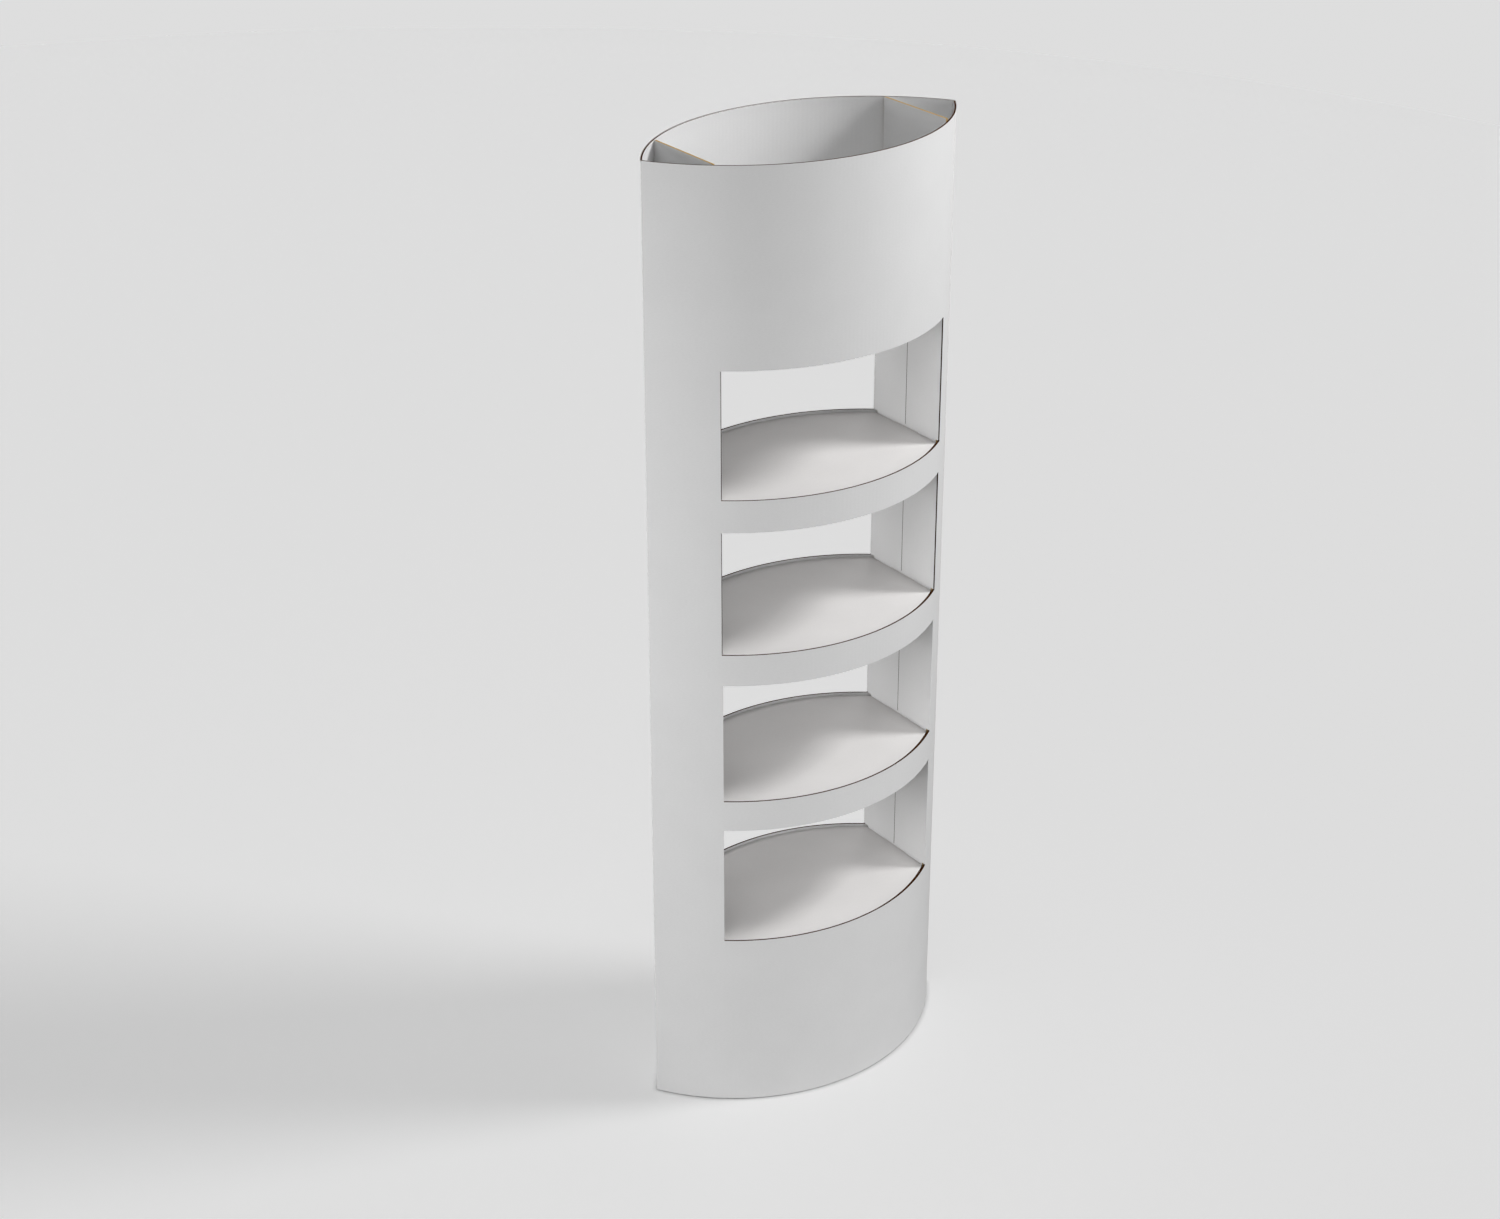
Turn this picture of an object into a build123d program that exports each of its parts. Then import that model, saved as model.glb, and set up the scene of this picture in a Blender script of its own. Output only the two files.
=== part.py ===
from build123d import *
from math import asin, cos, degrees, pi, sin, sqrt, tan
import os

# Free-standing cardboard display. A single white corrugated sheet is bent into a lens-shaped
# sleeve, two bowed panels that meet at two upright creases. Four windows go right through it.
# Two cross walls stand inside, near the creases, and carry a folded shelf under every window
# and the floor of the open header above them.
# Millimetres, +Z up, origin on the floor under the middle of the stand, windows along Y.

# Plan of the sleeve: crease to crease, and over both bowed panels
stand_width = 500.0
stand_depth = 272.0

# Boards
sleeve_board = 2.5
inner_board = 3.0

# From the floor up: a plain plinth, windows with a band between each two, and a plain header.
# The side width is left closed between a crease and the windows.
window_count = 4
window_height = 180.0
plinth_height = 272.0
band_height = 46.0
header_height = 270.0
side_width = 70.0

# Folds and cuts of the sleeve
crease_radius = 1.5
flap_gap = 1.0
flap_clearance = 1.0
cut_scored_windows = 2
score_depth = 1.0
glue_flap_width = 35.0
glue_flap_inset = 30.0
seam_width = 0.5
seam_depth = 1.6

# Shelves and the header floor
shelf_drop = 4.0
shelf_fit = 0.3
shelf_crease_radius = 1.2
end_flap_taper = 4.0

# Cross walls, and the tabs that lock the shelves into them
wall_front_fit = 3.0
wall_rear_fit = 0.3
tab_width = 50.0
tab_reach = 10.0
tab_corner = 4.0
slot_clearance = 0.3

# Both bowed panels are arcs of one radius. Each centre lies on the far side of the middle.
half_width = stand_width / 2
half_depth = stand_depth / 2
half_window = half_width - side_width
panel_radius = (half_width**2 + half_depth**2) / (2 * half_depth)
centre_offset = panel_radius - half_depth


def arc_y(inset, x):
    """Distance from the middle plane to a bowed panel, `inset` inside its outer face."""
    return sqrt((panel_radius - inset) ** 2 - x**2) - centre_offset


def tip_x(inset):
    """Where the two arcs cross, `inset` inside the outer face."""
    return sqrt((panel_radius - inset) ** 2 - centre_offset**2)


# Levels
window_pitch = window_height + band_height
window_bottoms = [plinth_height + index * window_pitch for index in range(window_count)]
top_window_top = window_bottoms[-1] + window_height
stand_height = top_window_top + header_height

# A shelf lies a little lower than the bottom edge of its window, and its end flaps reach down
# to the top edge of the window below. The header floor is the next one up.
end_flap_depth = band_height - shelf_drop
shelf_levels = [bottom - shelf_drop for bottom in window_bottoms]
header_level = top_window_top + end_flap_depth

# The side flaps line the cross walls, so a wall starts one sleeve board outside the window
wall_inner = half_window + sleeve_board
wall_outer = wall_inner + inner_board
wall_front = wall_front_fit - arc_y(sleeve_board, wall_outer)
wall_rear = arc_y(sleeve_board, wall_outer) - wall_rear_fit

os.makedirs("parts", exist_ok=True)


# Plans of the lens: outer face, inner face, inner face of the glue flap, and edge of a shelf
def lens_plan(inset):
    """The lens shape seen from above, `inset` inside the sleeve's outer face."""
    with BuildSketch() as plan:
        with BuildLine():
            left, right = (-tip_x(inset), 0), (tip_x(inset), 0)
            ThreePointArc(left, (0, -arc_y(inset, 0)), right)
            ThreePointArc(right, (0, arc_y(inset, 0)), left)
        make_face()
    return plan.sketch


outer_plan = lens_plan(0)
inner_plan = lens_plan(sleeve_board)
glued_plan = lens_plan(2 * sleeve_board)
shelf_plan = lens_plan(sleeve_board + shelf_fit)

# Sleeve: the lens ring, with the two creases rounded as bent board is
with BuildPart() as sleeve:
    with BuildSketch():
        add(outer_plan)
        add(inner_plan, mode=Mode.SUBTRACT)
    extrude(amount=stand_height)
    outer_creases = sleeve.edges().filter_by(Axis.Z).group_by(SortBy.DISTANCE)[-1]
    fillet(outer_creases, radius=crease_radius)

    # Glue flap: folded in at the right crease and stuck to the front panel's inner face
    with BuildSketch(Plane.XY.offset(glue_flap_inset)):
        add(inner_plan)
        add(glued_plan, mode=Mode.SUBTRACT)
        with Locations((half_width - glue_flap_width, 0)):
            Rectangle(stand_width, stand_depth, align=(Align.MIN, Align.MAX), mode=Mode.INTERSECT)
    extrude(amount=stand_height - 2 * glue_flap_inset)

    # Seam where the front panel's raw end laps the folded rear panel at that crease
    lap_y = (2 * panel_radius * sleeve_board - sleeve_board**2) / (4 * centre_offset)
    lap_x = sqrt(panel_radius**2 - (lap_y + centre_offset) ** 2)
    lap_angle = degrees(asin(lap_x / panel_radius))
    with BuildSketch():
        with Locations(Location((lap_x, lap_y, 0), (0, 0, lap_angle))):
            Rectangle(2 * seam_depth, seam_width)
    extrude(amount=stand_height, mode=Mode.SUBTRACT)

    # Windows, cut through both panels
    with Locations(*[(0, 0, bottom) for bottom in window_bottoms]):
        Box(
            2 * half_window,
            2 * stand_depth,
            window_height,
            align=(Align.CENTER, Align.CENTER, Align.MIN),
            mode=Mode.SUBTRACT,
        )

    # Side flaps: each window's sheet is slit down the middle and folded in at both sides, so the
    # flap from the front panel and the one from the rear panel meet half-way through the stand
    for bottom in window_bottoms:
        with BuildSketch(Plane.XY.offset(bottom + flap_clearance)):
            with Locations((half_window, flap_gap / 2)):
                Rectangle(sleeve_board, half_depth, align=(Align.MIN, Align.MIN))
            mirror(about=Plane.YZ)
            mirror(about=Plane.XZ)
            add(outer_plan, mode=Mode.INTERSECT)
        extrude(amount=window_height - 2 * flap_clearance)

    # The upper windows' folds are cut part way through from outside. Folding opens each cut
    # into a notch with one face square to each outer face.
    fold_y = arc_y(0, half_window)
    slope = asin(half_window / panel_radius)
    notch_reach = score_depth / tan((pi / 2 - slope) / 2)
    for bottom in window_bottoms[window_count - cut_scored_windows :]:
        with BuildSketch(Plane.XY.offset(bottom)):
            with BuildLine():
                Polyline(
                    (half_window - score_depth, fold_y + score_depth),
                    (half_window + notch_reach * cos(slope), fold_y - notch_reach * sin(slope)),
                    (half_window + score_depth, fold_y - notch_reach),
                    (half_window, fold_y - notch_reach),
                    close=True,
                )
            make_face()
            mirror(about=Plane.YZ)
            mirror(about=Plane.XZ)
        extrude(amount=window_height, mode=Mode.SUBTRACT)
sleeve.part.label = "sleeve"

# Cross wall: one flat board from the floor to the rim, cut a little narrow so that it slides in.
# It stands against the rear panel, and a slot at every shelf takes the shelf's tab.
with BuildPart() as right_cross_wall:
    with BuildSketch():
        with Locations((wall_inner, wall_front)):
            Rectangle(inner_board, wall_rear - wall_front, align=(Align.MIN, Align.MIN))
    extrude(amount=stand_height)
    slot_middles = [level - inner_board / 2 for level in [*shelf_levels, header_level]]
    with Locations(*[(wall_inner + inner_board / 2, 0, middle) for middle in slot_middles]):
        Box(
            2 * inner_board,
            tab_width + 2 * slot_clearance,
            inner_board + 2 * slot_clearance,
            mode=Mode.SUBTRACT,
        )
right_cross_wall.part.label = "right_cross_wall"

with BuildPart() as left_cross_wall:
    mirror(right_cross_wall.part, about=Plane.YZ)
left_cross_wall.part.label = "left_cross_wall"

# Shelf board, drawn with its top face at height 0. Each end is folded down as a flap that is
# stuck to a cross wall.
shelf_end_half = arc_y(sleeve_board + shelf_fit, wall_inner)
with BuildPart() as shelf_board:
    with BuildSketch(Plane.XY.offset(-inner_board)):
        add(shelf_plan)
        Rectangle(2 * wall_inner, stand_depth, mode=Mode.INTERSECT)
    extrude(amount=inner_board)

    with BuildSketch(Plane.YZ.offset(wall_inner)):
        with BuildLine():
            Polyline(
                (-shelf_end_half, 0),
                (shelf_end_half, 0),
                (shelf_end_half - end_flap_taper, -end_flap_depth),
                (end_flap_taper - shelf_end_half, -end_flap_depth),
                close=True,
            )
        make_face()
    end_flap = extrude(amount=-inner_board)
    mirror(end_flap, about=Plane.YZ)
    folds = shelf_board.edges().filter_by(Axis.Y).group_by(Axis.Z)[-1]
    fillet(folds, radius=shelf_crease_radius)

    # The tab is cut out of the end flap, stays level as the flap folds, and leaves a hole in it
    tab_root = wall_inner - inner_board
    tab_end = wall_outer + tab_reach
    with BuildSketch(Plane.YZ.offset(tab_root)):
        Rectangle(tab_width, tab_end - tab_root, align=(Align.CENTER, Align.MAX))
    tab_hole = extrude(amount=inner_board, mode=Mode.SUBTRACT)
    mirror(tab_hole, about=Plane.YZ, mode=Mode.SUBTRACT)
    with BuildSketch(Plane.XY.offset(-inner_board)) as tab_outline:
        with Locations((tab_root, 0)):
            Rectangle(tab_end - tab_root, tab_width, align=(Align.MIN, Align.CENTER))
        chamfer(tab_outline.vertices().group_by(Axis.X)[-1], length=tab_corner)
    tab = extrude(amount=inner_board)
    mirror(tab, about=Plane.YZ)

# The same board five times: four shelves, lowest first, and the header floor
with BuildPart(Plane.XY.offset(header_level)) as header_floor:
    add(shelf_board.part)
header_floor.part.label = "header_floor"

shelves = []
for number, level in enumerate(shelf_levels, start=1):
    with BuildPart(Plane.XY.offset(level)) as shelf:
        add(shelf_board.part)
    shelf.part.label = f"shelf_{number}"
    shelves.append(shelf)

for piece in [sleeve, right_cross_wall, left_cross_wall, header_floor, *shelves]:
    export_step(piece.part, f"parts/{piece.part.label}.step")
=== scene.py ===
from math import acos, asin, cos, inf, pi, radians, sin, sqrt

import bmesh
import bpy
from mathutils import Matrix, Vector


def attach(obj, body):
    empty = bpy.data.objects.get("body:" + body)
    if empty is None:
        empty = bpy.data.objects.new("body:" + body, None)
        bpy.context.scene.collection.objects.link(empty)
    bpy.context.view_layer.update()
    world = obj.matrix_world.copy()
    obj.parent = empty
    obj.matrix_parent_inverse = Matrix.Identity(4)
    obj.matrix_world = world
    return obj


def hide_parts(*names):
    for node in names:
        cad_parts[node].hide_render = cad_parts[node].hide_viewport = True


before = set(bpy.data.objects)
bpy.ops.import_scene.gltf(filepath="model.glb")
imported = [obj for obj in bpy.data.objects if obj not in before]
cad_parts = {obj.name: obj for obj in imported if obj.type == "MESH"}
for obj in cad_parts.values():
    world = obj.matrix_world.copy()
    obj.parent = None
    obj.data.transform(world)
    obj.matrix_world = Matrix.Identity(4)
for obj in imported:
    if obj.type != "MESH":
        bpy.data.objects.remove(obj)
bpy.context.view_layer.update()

collection = bpy.context.scene.collection

# ---------------------------------------------------------------------------------------------
# Camera: in front of the stand, to the left of its middle and well above the rim, with a short
# telephoto lens. Its place, direction and lens are those that lay the stand's outline, rims and
# windows where the photograph shows them.
camera_data = bpy.data.cameras.new("camera")
camera_data.sensor_width = 36
camera_data.lens = 64.0526
camera = bpy.data.objects.new("camera", camera_data)
camera.location = (-1.976268, -2.721638, 2.336975)
view_direction = Vector((0.514090, 0.739382, -0.434770))
camera.rotation_euler = view_direction.to_track_quat("-Z", "Y").to_euler()
collection.objects.link(camera)
bpy.context.scene.camera = camera

# ---------------------------------------------------------------------------------------------
# Studio: a seamless pale floor under one round softbox as the key light, high on the right in
# front. Weak wide fills all round and four low softboxes, mostly on the left, soften its shadows.


def linear(hex_colour):
    """A hex sRGB colour as the linear colour that a shader socket takes."""
    channels = [int(hex_colour[place : place + 2], 16) / 255 for place in (1, 3, 5)]
    return [c / 12.92 if c <= 0.04045 else ((c + 0.055) / 1.055) ** 2.4 for c in channels] + [1]


def add_node(tree, kind, inputs=None, **settings):
    """Adds a shader node, with its settings, and its inputs as values or as links."""
    node = tree.nodes.new("ShaderNode" + kind)
    for name, value in settings.items():
        setattr(node, name, value)
    for socket, value in (inputs or {}).items():
        if isinstance(value, bpy.types.NodeSocket):
            tree.links.new(value, node.inputs[socket])
        else:
            node.inputs[socket].default_value = value
    return node


def new_material(name):
    """An empty node material, with the shader and output that each one has."""
    material = bpy.data.materials.new(name)
    material.use_nodes = True
    tree = material.node_tree
    tree.nodes.clear()
    shader = add_node(tree, "BsdfPrincipled")
    add_node(tree, "OutputMaterial", {"Surface": shader.outputs["BSDF"]})
    return material, tree, shader


bpy.context.scene.view_settings.view_transform = "Standard"

key_place = Vector((1.36, -0.85, 2.5))
key_aim = Vector((0, 0, 0.7))
key_width = 0.6
key_watts = 32.6
# Wide fills, each with its height, direction and width in degrees and its level, where 1 lights a
# white face square to it to white
fills = {
    "low_left_rear_fill": (3, 150, 14, 0.18),
    "low_front_fill": (14, -72, 20, 0.162),
    "right_rear_fill": (35, 45, 30, 0.169),
    "left_rear_fill": (35, 135, 30, 0.104),
    "left_front_fill": (35, -135, 30, 0.139),
    "high_front_fill": (65, -72, 40, 0.23),
}
# Low upright softboxes round the stand, each with its direction in degrees, the heights of its
# bottom and top above the floor and its watts
softbox_distance = 2.0
softbox_width = 1.07
softboxes = {
    "left_softbox": (180, 0.5, 1.0, 15.9),
    "front_softbox": (270, 0.0, 0.5, 7.9),
    "left_rear_softbox": (120, 1.0, 1.4, 9.5),
    "left_front_softbox": (210, 1.0, 1.4, 2.5),
}

key_light = bpy.data.lights.new("key_light", "AREA")
key_light.shape = "DISK"
key_light.size = key_width
key_light.energy = key_watts
key_object = bpy.data.objects.new("key_light", key_light)
key_object.location = key_place
key_object.rotation_euler = (key_place - key_aim).to_track_quat("Z", "Y").to_euler()
collection.objects.link(key_object)

# The fills and softboxes are flagged off the floor, so that it shows the key light's shadow alone
flagged = bpy.data.collections.new("flagged_off")
for name, (height, direction, width, level) in fills.items():
    fill = bpy.data.lights.new(name, "SUN")
    fill.energy = pi * level
    fill.angle = radians(width)
    fill_object = bpy.data.objects.new(name, fill)
    fill_object.rotation_euler = (0, radians(90 - height), radians(direction))
    fill_object.light_linking.receiver_collection = flagged
    collection.objects.link(fill_object)

for name, (direction, bottom, top, watts) in softboxes.items():
    softbox = bpy.data.lights.new(name, "AREA")
    softbox.shape = "RECTANGLE"
    softbox.size = softbox_width
    softbox.size_y = top - bottom
    softbox.energy = watts
    softbox_object = bpy.data.objects.new(name, softbox)
    outward = Vector((cos(radians(direction)), sin(radians(direction)), 0))
    softbox_object.location = outward * softbox_distance + Vector((0, 0, (bottom + top) / 2))
    softbox_object.rotation_euler = outward.to_track_quat("Z", "Y").to_euler()
    softbox_object.visible_camera = False
    softbox_object.light_linking.receiver_collection = flagged
    collection.objects.link(softbox_object)

floor_half = 16
floor_mesh = bmesh.new()
bmesh.ops.create_grid(floor_mesh, x_segments=8, y_segments=8, size=floor_half)
floor_data = bpy.data.meshes.new("studio_floor")
floor_mesh.to_mesh(floor_data)
floor_mesh.free()
studio_floor = bpy.data.objects.new("studio_floor", floor_data)
collection.objects.link(studio_floor)
flagged.objects.link(studio_floor)
flagged.collection_objects[0].light_linking.link_state = "EXCLUDE"

# The floor is rolled matt paper, which gives no gloss and a light, soft shadow. The first colour
# is the one that lights the stand from below, the second the one that the camera sees.
floor_colour = "#C8C8C8"
seen_floor_colour = "#DCDCDC"
# The share of the seen tone that a shadow takes away, and the level below which it takes nothing
shadow_share = 0.22
unlit_level = 0.01
# How far the shade at the stand's foot and the light that the stand throws back reach, in metres
contact_reach = 0.008
bounce_reach = 0.4
bounce_share = 0.25
floor_material, tree, shader = new_material("matt_studio_paper")
shader.inputs["Roughness"].default_value = 0.9
shader.inputs["Specular IOR Level"].default_value = 0.1
# The key light falls off across the floor. For the camera alone the paper is toned the other way
# and partly glows, so that it looks as even as the studio's does. The key light's level at a place
# is its watts, times the cosines at the light and at the floor, over the squares of pi and of the
# distance.
place = add_node(tree, "TexCoord").outputs["Object"]
to_key = add_node(tree, "VectorMath", {0: key_place, 1: place}, operation="SUBTRACT")
distance_squared = add_node(
    tree, "VectorMath", {0: to_key.outputs["Vector"], 1: to_key.outputs["Vector"]},
    operation="DOT_PRODUCT",
)
facing = add_node(
    tree, "VectorMath", {0: to_key.outputs["Vector"], 1: (key_place - key_aim).normalized()},
    operation="DOT_PRODUCT",
)
distance_fourth = add_node(
    tree, "Math", {0: distance_squared.outputs["Value"], 1: 2}, operation="POWER"
)
key_share = add_node(
    tree, "Math", {0: facing.outputs["Value"], 1: distance_fourth.outputs[0]},
    operation="DIVIDE",
)
floor_level = add_node(
    tree, "Math", {0: key_share.outputs[0], 1: key_watts * key_place.z / pi**2},
    operation="MULTIPLY",
)
# Far off, where the key light doesn't reach, the paper glows alone
lit = add_node(
    tree, "Math", {0: floor_level.outputs[0], 1: unlit_level}, operation="GREATER_THAN"
)
lit_share = add_node(tree, "Math", {0: lit.outputs[0], 1: shadow_share}, operation="MULTIPLY")
lit_level = add_node(
    tree, "Math", {0: lit_share.outputs[0], 1: linear(seen_floor_colour)[0]},
    operation="MULTIPLY",
)
toned = add_node(
    tree, "Math", {0: lit_level.outputs[0], 1: floor_level.outputs[0]}, operation="DIVIDE"
)
own_share = add_node(tree, "Math", {0: 1, 1: lit_share.outputs[0]}, operation="SUBTRACT")
# The glow goes down where the stand's foot covers it, and close round the stand, where the light
# that the stand throws back on the paper makes up for it
contact = add_node(tree, "AmbientOcclusion", {"Distance": contact_reach}, samples=1)
beside = add_node(tree, "AmbientOcclusion", {"Distance": bounce_reach}, samples=1)
kept = add_node(
    tree, "Math", {0: beside.outputs["AO"], 1: bounce_share, 2: 1 - bounce_share},
    operation="MULTIPLY_ADD",
)
open_share = add_node(
    tree, "Math", {0: contact.outputs["AO"], 1: kept.outputs[0]}, operation="MULTIPLY"
)
glow_share = add_node(
    tree, "Math", {0: own_share.outputs[0], 1: open_share.outputs[0]}, operation="MULTIPLY"
)
ray = add_node(tree, "LightPath")
glow = add_node(
    tree, "Math", {0: ray.outputs["Is Camera Ray"], 1: glow_share.outputs[0]},
    operation="MULTIPLY",
)
tree.links.new(glow.outputs[0], shader.inputs["Emission Strength"])
shader.inputs["Emission Color"].default_value = linear(seen_floor_colour)
paper = add_node(
    tree, "Mix",
    {0: ray.outputs["Is Camera Ray"], 2: linear(floor_colour)[0], 3: toned.outputs[0]},
)
tree.links.new(paper.outputs[0], shader.inputs["Base Color"])
floor_data.materials.append(floor_material)

# The backdrop is the same paper. It shows to the camera and in gloss, and lights nothing.
world = bpy.data.worlds.new("studio_backdrop")
world.use_nodes = True
bpy.context.scene.world = world
tree = world.node_tree
tree.nodes.clear()
ray = add_node(tree, "LightPath")
seen = add_node(
    tree, "Math", {0: ray.outputs["Is Camera Ray"], 1: ray.outputs["Is Glossy Ray"]},
    operation="MAXIMUM",
)
seen = add_node(
    tree, "Math", {0: seen.outputs[0], 1: ray.outputs["Is Transmission Ray"]},
    operation="MAXIMUM",
)
backdrop = add_node(
    tree, "Background", {"Color": linear(seen_floor_colour), "Strength": seen.outputs[0]}
)
add_node(tree, "OutputWorld", {"Surface": backdrop.outputs[0]})

# ---------------------------------------------------------------------------------------------
# Sleeve: one die-cut sheet of white B-flute board, 1.2 m round. It is bent into two bowed panels
# that meet at two upright creases, its windows' side flaps are folded in, and a glue flap closes
# it at the right crease. The flutes stand upright.

mm = 0.001
stand_width = 500.0
stand_depth = 272.0
window_count = 4
window_height = 180.0
plinth_height = 272.0
band_height = 46.0
header_height = 270.0
side_width = 70.0
flap_gap = 1.0
flap_clearance = 1.0
glue_flap_width = 35.0
glue_flap_inset = 30.0
# Past each end of the glue flap, the crease goes over to its other form within this height
flap_step = 0.5
# The cross walls carry the stand, and its sleeve is cut this much short of the floor
foot_gap = 1.2
sleeve_board = 2.5
sleeve_liner = 0.3
sleeve_medium = 0.22
sleeve_flute = 6.25
# The folds of the upper windows are cut part way through. The lower two are plainly creased.
first_scored_window = 2
notch_reach = 2.0
notch_depth = 1.0
notch_margin = 0.05
fold_round = 1.0
# Over this width beside a fold, the layers slide on each other until they meet it square
crush_width = 30.0

window_pitch = window_height + band_height
window_bottoms = [plinth_height + number * window_pitch for number in range(window_count)]
stand_height = window_bottoms[-1] + window_height + header_height
half_window = stand_width / 2 - side_width
panel_radius = ((stand_width / 2) ** 2 + (stand_depth / 2) ** 2) / stand_depth
centre_offset = panel_radius - stand_depth / 2
tip_angle = asin(stand_width / 2 / panel_radius)
panel_length = 2 * panel_radius * tip_angle
window_half_arc = panel_radius * asin(half_window / panel_radius)


def arc_y(inset, x):
    """Distance from the middle plane to a bowed panel, `inset` inside its outer face."""
    return sqrt((panel_radius - inset) ** 2 - x**2) - centre_offset


def crossing_y(rear_inset, front_inset):
    """How far behind the middle plane an arc that lies `rear_inset` inside the rear panel's outer
    face crosses one that lies `front_inset` inside the front panel's."""
    rear_radius, front_radius = panel_radius - rear_inset, panel_radius - front_inset
    return (rear_radius**2 - front_radius**2) / (4 * centre_offset)


# A cut this close to a row of points takes the row, a face this square to the sheet is a liner's
# own face and not its cut edge, and an edge bent more sharply than this shows as an edge
row_reach = 0.02
face_on = 0.9
sharp_bend = radians(50)
strips_per_flute = 8


def add_board(piece, span_a, span_b, steps, layers, cuts_a, cuts_b, keep, place):
    """Adds one flat corrugated board to `piece`, die-cuts it and puts each point in its place.

    The board is made flat, with X across the flutes, Z along them and Y as the depth below the
    outer face. `steps` are the widths of the strips that a liner and the medium are made of, and
    `layers` the board's thickness, a liner's, the medium's and a flute's width. `keep` says which
    of its faces are left, and `place` takes each point (across, depth, along) to where it is on
    the folded piece. The UV map keeps the flat place in metres.
    """
    caliper, liner, medium, flute = layers
    wave = (caliper - 2 * liner - medium) / 2
    for layer in ("outer liner", "medium", "inner liner"):
        sheet = bmesh.new()
        count = round((span_a[1] - span_a[0]) / steps[layer == "medium"])
        flat = (
            Matrix.Translation(((span_a[0] + span_a[1]) / 2, 0, (span_b[0] + span_b[1]) / 2))
            @ Matrix.Rotation(pi / 2, 4, "X")
            @ Matrix.Diagonal((span_a[1] - span_a[0], span_b[1] - span_b[0], 1, 1))
        )
        bmesh.ops.create_grid(sheet, x_segments=count, y_segments=1, size=0.5, matrix=flat)
        for cuts, normal in ((cuts_a, Vector((1, 0, 0))), (cuts_b, Vector((0, 0, 1)))):
            for cut in cuts:
                bmesh.ops.bisect_plane(
                    sheet, geom=sheet.verts[:] + sheet.edges[:] + sheet.faces[:],
                    plane_co=normal * cut, plane_no=normal, dist=row_reach,
                )
        waste = [
            face for face in sheet.faces
            if not keep(face.calc_center_median().x, face.calc_center_median().z, layer)
        ]
        bmesh.ops.delete(sheet, geom=waste, context="FACES")
        thickness = medium if layer == "medium" else liner
        for vertex in sheet.verts:
            if layer == "medium":
                vertex.co.y = (caliper - medium) / 2 + wave * sin(2 * pi * vertex.co.x / flute)
            elif layer == "inner liner":
                vertex.co.y = caliper - liner
        bmesh.ops.recalc_face_normals(sheet, faces=sheet.faces)
        if sum(face.normal.y for face in sheet.faces) > 0:
            bmesh.ops.reverse_faces(sheet, faces=sheet.faces)
        bmesh.ops.solidify(sheet, geom=sheet.faces[:], thickness=thickness)
        bmesh.ops.recalc_face_normals(sheet, faces=sheet.faces)
        sheet.normal_update()
        flat_map = sheet.loops.layers.uv.new("flat_sheet")
        white_side = {"outer liner": -1, "medium": 0, "inner liner": 1}[layer]
        for face in sheet.faces:
            face.material_index = 0 if face.normal.y * white_side > face_on else 1
            face.smooth = True
            for loop in face.loops:
                loop[flat_map].uv = (loop.vert.co.x * mm, loop.vert.co.z * mm)
        for vertex in sheet.verts:
            vertex.co = Vector(place(*vertex.co)) * mm
        bmesh.ops.recalc_face_normals(sheet, faces=sheet.faces)
        for edge in sheet.edges:
            edge.smooth = edge.is_manifold and edge.calc_face_angle(pi) < sharp_bend
        layer_data = bpy.data.meshes.new("layer")
        sheet.to_mesh(layer_data)
        sheet.free()
        piece.from_mesh(layer_data)
        bpy.data.meshes.remove(layer_data)


def finish_board(piece, name, node, materials):
    """Makes the object of a finished board and puts it in the place of its CAD node."""
    data = bpy.data.meshes.new(name)
    piece.to_mesh(data)
    piece.free()
    for material in materials:
        data.materials.append(material)
    board = bpy.data.objects.new(name, data)
    collection.objects.link(board)
    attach(board, "root")
    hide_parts(node)


def window_at(height):
    """The window that a height lies in, counted from 0 at the bottom, or None."""
    for number, bottom in enumerate(window_bottoms):
        if bottom < height < bottom + window_height:
            return number
    return None


def panel_point(girth, depth, in_window, beside_flap):
    """Where a point of the flat sheet lies in plan, with every fold still sharp."""
    # The rear panel folds round at the right crease, under the raw end of the front panel. Above
    # and below the glue flap it only butts against the front panel's inner face.
    lap_y = crossing_y(depth, sleeve_board + (depth if beside_flap else 0))
    if girth > 2 * panel_length:
        radius = panel_radius - sleeve_board - depth
        angle = acos((centre_offset - lap_y) / radius)
        angle -= (girth - 2 * panel_length) / panel_radius
        return radius * sin(angle), centre_offset - radius * cos(angle)
    radius = panel_radius - depth
    if girth < panel_length:
        side, along = -1, panel_length / 2 - girth
    else:
        side, along = 1, girth - 1.5 * panel_length
    hand = 1 if along > 0 else -1
    reach = abs(along)
    if in_window and reach < window_half_arc:
        drawn_in = window_half_arc - reach
        eased = max(0, 1 - drawn_in / crush_width)
        y = arc_y(0, half_window) - drawn_in
        y -= eased * (arc_y(0, half_window) - arc_y(depth, half_window + depth))
        return hand * (half_window + depth), side * y
    angle = reach / panel_radius
    if in_window:
        eased = max(0, 1 - (reach - window_half_arc) / crush_width)
        fold_angle = asin((half_window + depth) / radius)
        angle += eased * (fold_angle - window_half_arc / panel_radius)
    # Each layer ends where it meets the next panel's, so the creases are mitred
    if hand < 0:
        end_y = 0
    else:
        end_y = lap_y if side > 0 else crossing_y(0, depth)
    end_angle = acos((centre_offset + side * end_y) / radius)
    eased = min(1, max(0, 1 - (panel_length / 2 - reach) / crush_width))
    angle += eased * (end_angle - tip_angle)
    return hand * radius * sin(angle), side * (radius * cos(angle) - centre_offset)


def local_reach(girth):
    """Distance along the sheet from the upright middle line of a point's own panel. The glue flap
    has no such line, and counts as far from any."""
    return abs(girth % panel_length - panel_length / 2) if girth < 2 * panel_length else inf


def in_notch(girth, height, margin=0.0):
    """Whether a point lies in the cut score of one of the two upper windows."""
    window = window_at(height)
    beside = abs(local_reach(girth) - window_half_arc) < notch_reach - margin
    return window is not None and window >= first_scored_window and beside


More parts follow.
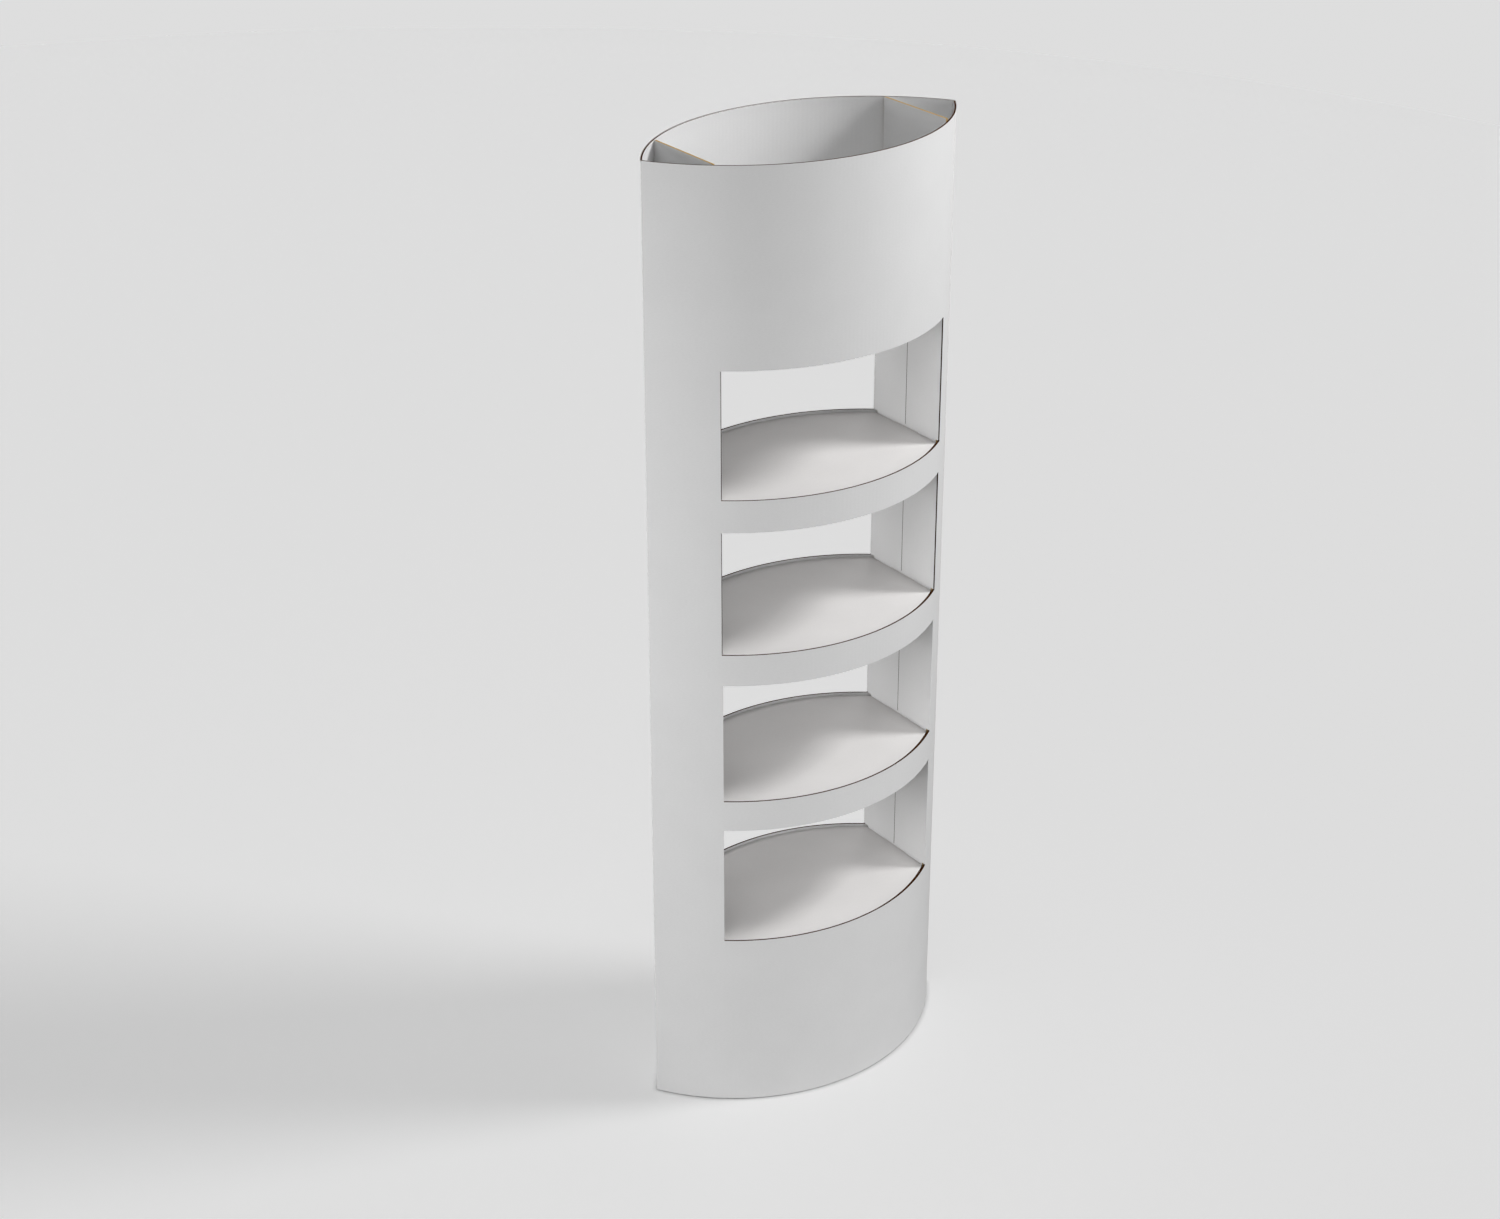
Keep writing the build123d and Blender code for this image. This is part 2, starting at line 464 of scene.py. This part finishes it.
def sleeve_keep(girth, height, layer):
    """The die cuts the glue flap short, opens the cut scores and leaves two flaps a window."""
    if girth > 2 * panel_length:
        return glue_flap_inset < height < stand_height - glue_flap_inset
    if layer == "outer liner" and in_notch(girth, height):
        return False
    window = window_at(height)
    if window is None or local_reach(girth) > window_half_arc:
        return True
    bottom = window_bottoms[window]
    top = bottom + window_height
    on_flap = local_reach(girth) > window_half_arc - flap_reach
    return on_flap and bottom + flap_clearance < height < top - flap_clearance


def sleeve_place(girth, depth, height):
    """Folds the sheet. The mean of a point's place and those beside it rounds the folds."""
    window = window_at(height)
    if window is not None and in_notch(girth, height, notch_margin):
        depth = max(depth, notch_depth)
    in_window = window is not None
    beside_flap = glue_flap_inset <= min(height, stand_height - height)
    ahead = panel_point(girth + fold_round, depth, in_window, beside_flap)
    here = panel_point(girth, depth, in_window, beside_flap)
    behind = panel_point(girth - fold_round, depth, in_window, beside_flap)
    x, y = [(a + 2 * b + c) / 4 for a, b, c in zip(ahead, here, behind)]
    return x, y, max(height, foot_gap)


flap_reach = arc_y(0, half_window) - flap_gap / 2
glue_radius = panel_radius - sleeve_board
glue_flap_arc = panel_radius * (
    acos((centre_offset - crossing_y(0, sleeve_board)) / glue_radius)
    - asin((stand_width / 2 - glue_flap_width) / glue_radius)
)
window_folds = [
    panel_length * (0.5 + panel) + hand * window_half_arc for panel in (0, 1) for hand in (-1, 1)
]
fold_lines = window_folds + [panel_length, 2 * panel_length]
girth_cuts = [fold + step * fold_round / 2 for fold in fold_lines for step in range(-2, 3)]
girth_cuts += [fold + step * notch_reach for fold in window_folds for step in (-1, 1)]
girth_cuts += [
    panel_length * (0.5 + panel) + hand * (window_half_arc - flap_reach)
    for panel in (0, 1) for hand in (-1, 1)
]
height_cuts = [glue_flap_inset, stand_height - glue_flap_inset]
height_cuts += [glue_flap_inset - flap_step, stand_height - glue_flap_inset + flap_step]
for bottom in window_bottoms:
    height_cuts += [
        bottom, bottom + flap_clearance,
        bottom + window_height - flap_clearance, bottom + window_height,
    ]


# A liner's fibres are 1 to 3 mm long and 0.15 mm wide, and are drawn 4 times as wide, which is as
# fine as shows. A cell of the noise holds one fibre and the gap beside it, so that 0.9 of them fit
# in a millimetre, and is drawn out along the fibre. A cloud's cell is 70 mm wide.
fibre_scale = 0.9 / mm
fibre_stretch = 0.25
cloud_scale = 0.014 / mm
fibre_relief = 0.02 * mm


def liner_material(name, colour, flute, rib_relief):
    """White liner of machine-made paper: matt, faintly clouded, with fibres that run across the
    flutes, and ribs where it sinks between them."""
    material, tree, shader = new_material(name)
    flat_place = add_node(tree, "UVMap", uv_map="flat_sheet").outputs["UV"]
    stretched = add_node(tree, "Mapping", {"Vector": flat_place, "Scale": (fibre_stretch, 1, 1)})
    fibres = add_node(
        tree, "TexNoise",
        {"Vector": stretched.outputs[0], "Scale": fibre_scale, "Detail": 3, "Roughness": 0.6},
        noise_dimensions="2D",
    )
    clouds = add_node(
        tree, "TexNoise",
        {"Vector": flat_place, "Scale": cloud_scale, "Detail": 4, "Roughness": 0.55},
        noise_dimensions="2D",
    )
    across = add_node(tree, "SeparateXYZ", {"Vector": flat_place}).outputs["X"]
    phase = add_node(tree, "Math", {0: across, 1: 2 * pi / (flute * mm)}, operation="MULTIPLY")
    ribs = add_node(tree, "Math", {0: phase.outputs[0]}, operation="SINE")
    # The noise lies mostly between 0.3 and 0.7
    fibre_tone, cloud_tone = [
        add_node(
            tree, "MapRange",
            {
                "Value": pattern.outputs["Fac"], "From Min": 0.3, "From Max": 0.7,
                "To Min": 1 - spread, "To Max": 1 + spread,
            },
        )
        for pattern, spread in ((fibres, 0.015), (clouds, 0.01))
    ]
    tones = add_node(
        tree, "Math", {0: fibre_tone.outputs[0], 1: cloud_tone.outputs[0]}, operation="MULTIPLY"
    )
    tinted = add_node(
        tree, "VectorMath", {0: linear(colour)[:3], "Scale": tones.outputs[0]}, operation="SCALE"
    )
    tree.links.new(tinted.outputs["Vector"], shader.inputs["Base Color"])
    shader.inputs["Roughness"].default_value = 0.75
    shader.inputs["Specular IOR Level"].default_value = 0.3
    rib_height = add_node(tree, "Math", {0: ribs.outputs[0], 1: rib_relief}, operation="MULTIPLY")
    fibre_height = add_node(
        tree, "Math", {0: fibres.outputs["Fac"], 1: fibre_relief, 2: rib_height.outputs[0]},
        operation="MULTIPLY_ADD",
    )
    relief = add_node(
        tree, "Bump", {"Height": fibre_height.outputs[0], "Strength": 1, "Distance": 1}
    )
    tree.links.new(relief.outputs["Normal"], shader.inputs["Normal"])
    return material


sleeve_liner_material = liner_material("white_top_liner", "#DCDCDC", sleeve_flute, 0.012 * mm)

# Kraft paper's mottling has 2 cells of the noise in a millimetre
mottle_scale = 2 / mm


def brown_paper(name, dark, pale):
    """Unbleached kraft paper, as it shows at a cut edge: quite matt, and mottled light and dark by
    its coarse fibres."""
    material, tree, shader = new_material(name)
    place = add_node(tree, "TexCoord").outputs["Object"]
    fibres = add_node(
        tree, "TexNoise", {"Vector": place, "Scale": mottle_scale, "Detail": 2, "Roughness": 0.7}
    )
    ramp = add_node(tree, "ValToRGB", {"Fac": fibres.outputs["Fac"]})
    ramp.color_ramp.elements[0].position = 0.35
    ramp.color_ramp.elements[0].color = linear(dark)
    ramp.color_ramp.elements[1].position = 0.65
    ramp.color_ramp.elements[1].color = linear(pale)
    tree.links.new(ramp.outputs["Color"], shader.inputs["Base Color"])
    shader.inputs["Roughness"].default_value = 0.9
    shader.inputs["Specular IOR Level"].default_value = 0.1
    return material


# The sleeve's brown core and cut edges are darkened to near black, far below real kraft fluting,
# as painted shade of its open flutes. This gives the thin near-black lines along its rim, windows
# and cut scores.
shade_darkened_core_material = brown_paper("shade_darkened_kraft_fluting", "#3A200E", "#5A3618")

sleeve_mesh = bmesh.new()
add_board(
    sleeve_mesh, (0, 2 * panel_length + glue_flap_arc), (0, stand_height),
    (sleeve_flute / 2, sleeve_flute / strips_per_flute),
    (sleeve_board, sleeve_liner, sleeve_medium, sleeve_flute),
    girth_cuts, height_cuts, sleeve_keep, sleeve_place,
)
finish_board(
    sleeve_mesh, "folded_sleeve", "sleeve",
    [sleeve_liner_material, shade_darkened_core_material],
)

# ---------------------------------------------------------------------------------------------
# Cross walls: two flat boards that stand inside, near the creases, from the floor to the rim. The
# windows' side flaps are glued to them, and a slot at each shelf takes the shelf's tab.

inner_board = 3.0
inner_liner = 0.35
inner_medium = 0.25
inner_flute = 7.0
wall_front_fit = 3.0
wall_rear_fit = 0.3
shelf_drop = 4.0
end_flap_depth = band_height - shelf_drop
tab_half_width = 25.0
slot_clearance = 0.3
slot_half_width = tab_half_width + slot_clearance
slot_half_height = inner_board / 2 + slot_clearance
wall_inner = half_window + sleeve_board
wall_front = wall_front_fit - arc_y(sleeve_board, wall_inner + inner_board)
wall_rear = arc_y(sleeve_board, wall_inner + inner_board) - wall_rear_fit
shelf_levels = [bottom - shelf_drop for bottom in window_bottoms]
shelf_levels.append(window_bottoms[-1] + window_height + end_flap_depth)
inner_layers = (inner_board, inner_liner, inner_medium, inner_flute)
# The walls are flat, so that their liners need few strips
wall_strip = 10 * inner_flute

# The walls' coarser board shows its ribs a little more, and a pale tan core at its cut top
inner_liner_material = liner_material("white_inner_liner", "#DCDCDC", inner_flute, 0.03 * mm)
inner_core_material = brown_paper("tan_kraft_fluting", "#CFAC68", "#E8CE8E")


def wall_keep(across, along, layer):
    """A slot is cut at every shelf."""
    in_slot = any(
        abs(across - flute_shift - (level - inner_board / 2)) < slot_half_height
        for level in shelf_levels
    )
    return not (in_slot and abs(along) < slot_half_width)


for name, hand in (("right_cross_wall", 1), ("left_cross_wall", -1)):
    # Each wall's top edge is cut where a flute leans on its right-hand liner
    flute_shift = hand * inner_flute / 4
    slot_edges = [
        flute_shift + level - inner_board / 2 + side * slot_half_height
        for level in shelf_levels for side in (-1, 1)
    ]
    wall_mesh = bmesh.new()
    add_board(
        wall_mesh, (flute_shift, stand_height + flute_shift), (wall_front, wall_rear),
        (wall_strip, inner_flute / strips_per_flute), inner_layers,
        slot_edges, [-slot_half_width, slot_half_width], wall_keep,
        lambda across, depth, along: (hand * (wall_inner + depth), along, across - flute_shift),
    )
    finish_board(
        wall_mesh, name + "_board", name,
        [inner_liner_material, inner_core_material],
    )

# ---------------------------------------------------------------------------------------------
# Shelves and header floor: five boards of one cut, bowed at front and rear as the sleeve is. Both
# ends are folded down and glued to the cross walls, and a level tab locks each end into its slot.

shelf_fit = 0.3
end_flap_taper = 4.0
tab_reach = 10.0
tab_length = 2 * inner_board + tab_reach
tab_corner = 4.0
shelf_inset = sleeve_board + shelf_fit
shelf_end_half = arc_y(shelf_inset, wall_inner)
shelf_bow = arc_y(shelf_inset, 0)
tab_root = wall_inner - inner_board
# The bowed edge comes no nearer than this to the middle, where its two ends would meet
bow_point = 4.0
bow_step = 8
shelf_round = 1.0
# The front edge stops this much further from the front panel, over this width of the board
shelf_front_trim = 4.0
trim_width = 20.0
# The slope of the medium carries its thickness this far past a line that it was cut on
medium_lean = 0.3


def shelf_keep(across, along, layer):
    """The lens outline has no flap beyond the fold where it bows, and the tab leaves a hole."""
    on_tab = abs(across) < tab_half_width and tab_root < abs(along) < wall_inner + tab_length
    on_flap = abs(along) > wall_inner
    return not on_tab and not (on_flap and abs(across) > shelf_end_half)


def shelf_point(across, depth, reach):
    """Where a point of the flat shelf lies in x and below the shelf top, with sharp folds."""
    # Beside the folds, every strip ends at the bowed edge
    if abs(across) > shelf_end_half + medium_lean:
        span = (panel_radius - shelf_inset) ** 2 - (abs(across) + centre_offset) ** 2
        return reach / wall_inner * max(bow_point, sqrt(max(0, span))), depth
    if reach < wall_inner:
        return reach - depth * max(0, 1 - (wall_inner - reach) / end_flap_depth), depth
    down = reach - wall_inner
    return wall_inner - depth, down + depth * max(0, 1 - down / end_flap_depth)


def shelf_place(across, depth, along):
    """Folds both ends down and rounds the folds, as on the sleeve."""
    hand = 1 if along > 0 else -1
    reach = abs(along)
    by_fold = abs(across) <= shelf_end_half + medium_lean and reach >= wall_inner - 2 * shelf_round
    steps = (-1, 0, 0, 1) if by_fold else (0,)
    points = [shelf_point(across, depth, reach + step * shelf_round) for step in steps]
    x, down = [sum(values) / len(points) for values in zip(*points)]
    drop = max(0, reach - wall_inner) / end_flap_depth
    front_trim = shelf_front_trim * min(1, max(0, (-across - tab_half_width) / trim_width))
    y = across * (1 - drop * end_flap_taper / shelf_end_half) + front_trim
    return hand * x, y, shelf_level - down


def tab_place(across, depth, along):
    """A tab stays level, with its two end corners cut off."""
    chamfered = max(0, along - (tab_root + tab_length - tab_corner)) / tab_half_width
    return tab_hand * along, across * (1 - chamfered), shelf_level - depth


bow_cuts = [arc_y(shelf_inset, x) for x in range(0, int(wall_inner), bow_step)]
shelf_cuts = [hand * y for y in bow_cuts + [shelf_end_half, tab_half_width] for hand in (-1, 1)]
end_cuts = [
    hand * (wall_inner + step * shelf_round)
    for step in (-2, -1, -0.5, 0, 0.5, 1) for hand in (-1, 1)
]
end_cuts += [hand * (wall_inner + tab_length) for hand in (-1, 1)] + [-tab_root, tab_root]

# The shelves' liner is tinted a faintly warmer white than the walls', as painted warm shade: the
# tint stands in for the warmth of their shaded side. They have the sleeve's core, darkened as
# painted shade.
shade_tinted_shelf_liner = liner_material("shade_tinted_white_liner", "#DEDCDB", inner_flute, 0.03 * mm)
nodes = ["shelf_1", "shelf_2", "shelf_3", "shelf_4", "header_floor"]
for node, shelf_level in zip(nodes, shelf_levels):
    shelf_mesh = bmesh.new()
    add_board(
        shelf_mesh, (-shelf_bow, shelf_bow),
        (-wall_inner - end_flap_depth, wall_inner + end_flap_depth),
        (shelf_bow / 2, inner_flute / strips_per_flute), inner_layers,
        shelf_cuts, end_cuts, shelf_keep, shelf_place,
    )
    for tab_hand in (-1, 1):
        add_board(
            shelf_mesh, (-tab_half_width, tab_half_width), (tab_root, tab_root + tab_length),
            (tab_half_width, inner_flute / strips_per_flute), inner_layers,
            [], [tab_root + tab_length - tab_corner], lambda across, along, layer: True, tab_place,
        )
    finish_board(
        shelf_mesh, node + "_board", node,
        [shade_tinted_shelf_liner, shade_darkened_core_material],
    )
